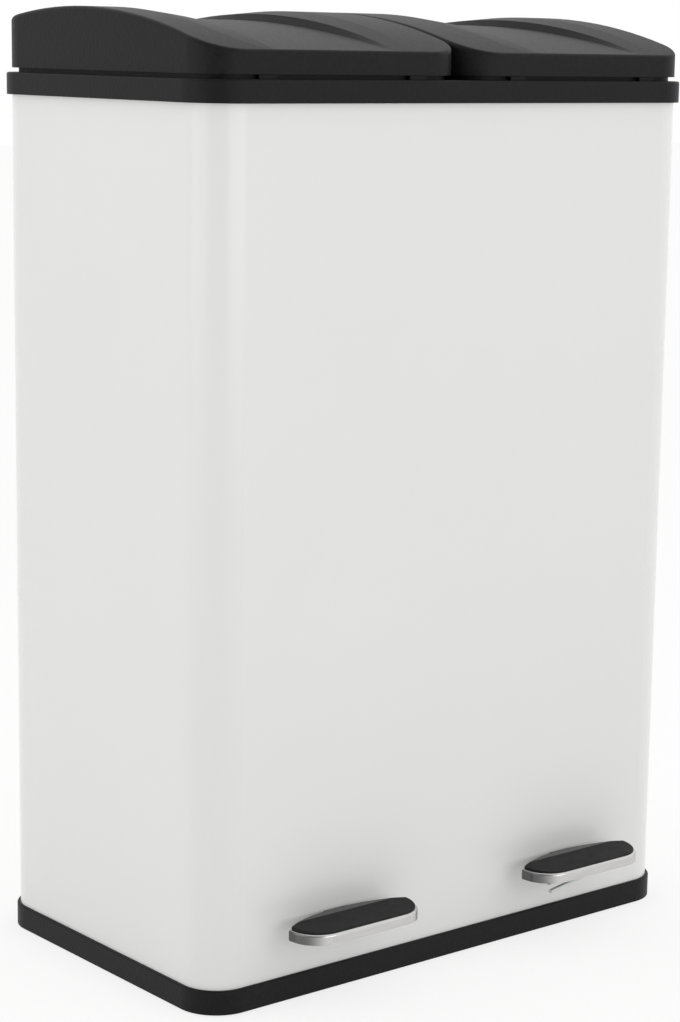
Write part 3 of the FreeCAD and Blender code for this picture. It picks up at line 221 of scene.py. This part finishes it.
def foot_rubber():
    """Moulded rubber of the feet and bumpers: dull black with a slightly dusty skin."""
    rubber, tree, place = new_material("foot_rubber")
    dust = add_node(tree, "ShaderNodeTexNoise",
                    inputs={"Vector": place, "Scale": per_metre(2.0), "Detail": 4.0, "Roughness": 0.7})
    tint = add_node(tree, "ShaderNodeMix", {"data_type": "RGBA"},
                    {0: dust.outputs["Fac"], 6: linear("0C0C0C"), 7: linear("161615")})
    finish = add_node(tree, "ShaderNodeMapRange",
                      inputs={"Value": dust.outputs["Fac"], "To Min": 0.7, "To Max": 0.9})
    bump = add_node(tree, "ShaderNodeBump",
                    inputs={"Height": dust.outputs["Fac"], "Distance": 0.03 * MM})
    surface = add_node(tree, "ShaderNodeBsdfPrincipled",
                       inputs={"Base Color": tint.outputs[2], "Roughness": finish.outputs["Result"],
                               "IOR": 1.52, "Specular IOR Level": 0.3, "Normal": bump.outputs["Normal"]})
    add_node(tree, "ShaderNodeOutputMaterial", inputs={"Surface": surface.outputs["BSDF"]})
    return rubber


def dress(material, *names):
    """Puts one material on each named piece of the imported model."""
    for name in names:
        mesh = nodes[name].data
        mesh.materials.clear()
        mesh.materials.append(material)


def left_and_right(*names):
    """Both sides' names of mirrored pieces."""
    return [side + name for name in names for side in ("left_", "right_")]


dress(white_stove_enamel(), "body_shell")
dress(grained_polypropylene(), "base_tray", "top_rim", *left_and_right("lid"))
dress(polished_and_grained_abs(), *left_and_right("pedal_pad"))
dress(brushed_stainless(), *left_and_right("pedal_tread"))
dress(zinc_plated_steel(), "base_screws", "rim_screws", "stay_wire",
      *left_and_right("hinge_pins", "crank_pin", "push_rod", "pedal_lever", "pedal_rivets", "pivot_pin"))
dress(black_nylon(), "wire_clip", *left_and_right("rod_end", "rod_guide", "slot_liner"))
dress(grey_bucket_polypropylene(), *left_and_right("bucket"))
dress(foot_rubber(), "base_feet", *left_and_right("lid_bumpers"))


# ---- Floor, light and camera ------------------------------------------------------------------
def pale_floor():
    """A wide white floor that fades to the white background and keeps the bin's shadow."""
    glow_share = 0.78          # of the floor's look that is plain white; the rest takes the shadow
    half_span = 12.0
    made, tree, _ = new_material("pale_floor")
    rays = add_node(tree, "ShaderNodeLightPath").outputs
    seen = add_node(tree, "ShaderNodeMath", {"operation": "MAXIMUM"},
                    {0: rays["Is Camera Ray"], 1: rays["Is Glossy Ray"]})
    share = add_node(tree, "ShaderNodeMath", {"operation": "MULTIPLY"},
                     {0: seen.outputs[0], 1: glow_share})
    matt = add_node(tree, "ShaderNodeBsdfDiffuse", inputs={"Color": linear("F7F7F6")})
    glow = add_node(tree, "ShaderNodeEmission", inputs={"Color": linear("FFFFFF"), "Strength": 1.0})
    both = add_node(tree, "ShaderNodeMixShader",
                    inputs={0: share.outputs[0], 1: matt.outputs["BSDF"], 2: glow.outputs["Emission"]})
    add_node(tree, "ShaderNodeOutputMaterial", inputs={"Surface": both.outputs["Shader"]})
    mesh = bpy.data.meshes.new("pale_floor")
    corners = [(x * half_span, y * half_span, 0) for x, y in ((-1, -1), (1, -1), (1, 1), (-1, 1))]
    mesh.from_pydata(corners, [], [(0, 1, 2, 3)])
    mesh.materials.append(made)
    floor = bpy.data.objects.new("pale_floor", mesh)
    bpy.context.scene.collection.objects.link(floor)


def white_surround(bright, dim, dim_side):
    """Even daylight of a white studio with one dimmer side. The camera sees plain white, and
    glossy rays see the daylight as it is."""
    world = bpy.data.worlds.new("white_surround")
    bpy.context.scene.world = world
    world.use_nodes = True
    tree = world.node_tree
    tree.nodes.clear()
    way = add_node(tree, "ShaderNodeTexCoord")
    toward = add_node(tree, "ShaderNodeVectorMath", {"operation": "DOT_PRODUCT"},
                      {0: way.outputs["Generated"], 1: dim_side})
    level = add_node(tree, "ShaderNodeMapRange", {"interpolation_type": "SMOOTHSTEP"},
                     {"Value": toward.outputs["Value"], "From Min": 0.25, "From Max": 0.95,
                      "To Min": bright, "To Max": dim})
    rays = add_node(tree, "ShaderNodeLightPath").outputs
    seen = add_node(tree, "ShaderNodeMath", {"operation": "MAXIMUM"},
                    {0: rays["Is Camera Ray"], 1: rays["Is Transmission Ray"]})
    shown = add_node(tree, "ShaderNodeMix", {"data_type": "FLOAT"},
                     {0: seen.outputs[0], 2: level.outputs["Result"], 3: 1.0})
    back = add_node(tree, "ShaderNodeBackground",
                    inputs={"Color": linear("FFFFFF"), "Strength": shown.outputs[0]})
    add_node(tree, "ShaderNodeOutputWorld", inputs={"Surface": back.outputs["Background"]})


def softbox(name, at, aim, size, watts):
    """A rectangular lamp at one point that faces another, in metres and watts."""
    lamp = bpy.data.lights.new(name, "AREA")
    lamp.shape = "RECTANGLE"
    lamp.size, lamp.size_y = size
    lamp.energy = watts
    holder = bpy.data.objects.new(name, lamp)
    holder.location = at
    holder.rotation_mode = "QUATERNION"
    holder.rotation_quaternion = (Vector(aim) - Vector(at)).to_track_quat("-Z", "Y")
    bpy.context.scene.collection.objects.link(holder)


def photo_camera(place_mm, yaw, pitch, roll, focal_px, centre_px):
    """Camera at the photograph's viewpoint. Angles are in radians: yaw from +Y towards +X,
    pitch downwards, roll about the view line. The long side of the picture is 1022 px."""
    long_side, width = 1022.0, 680.0
    forward = Vector((math.sin(yaw) * math.cos(pitch), math.cos(yaw) * math.cos(pitch),
                      -math.sin(pitch)))
    level = Vector((math.cos(yaw), -math.sin(yaw), 0.0))
    down = forward.cross(level)
    right = level * math.cos(roll) + down * math.sin(roll)
    up = level * math.sin(roll) - down * math.cos(roll)
    lens = bpy.data.cameras.new("photo_camera")
    lens.sensor_fit = "AUTO"
    lens.sensor_width = 36.0
    lens.lens = focal_px / long_side * lens.sensor_width
    lens.shift_x = (width / 2 - centre_px[0]) / long_side
    lens.shift_y = (centre_px[1] - long_side / 2) / long_side
    lens.clip_start = 0.05
    lens.clip_end = 60.0
    camera = bpy.data.objects.new("photo_camera", lens)
    turned = Matrix((right, up, -forward)).transposed().to_4x4()
    camera.matrix_world = Matrix.Translation(Vector(place_mm) * MM) @ turned
    bpy.context.scene.collection.objects.link(camera)
    bpy.context.scene.camera = camera


pale_floor()
white_surround(1.1, 0.4, (-0.62, -0.74, 0.26))
softbox("left_softbox", (-2.8, 0.2, 0.8), (0, 0, 0.2), (2.4, 1.5), 13)
softbox("right_softbox", (0.2, -3.0, 0.8), (0, 0, 0.2), (2.4, 1.5), 18)
photo_camera((-1149.2, -1416.5, 637.2), 0.6977, 0.1890, -0.0169, 2539.2, (385.0, 531.0))
bpy.context.scene.view_settings.view_transform = "Standard"
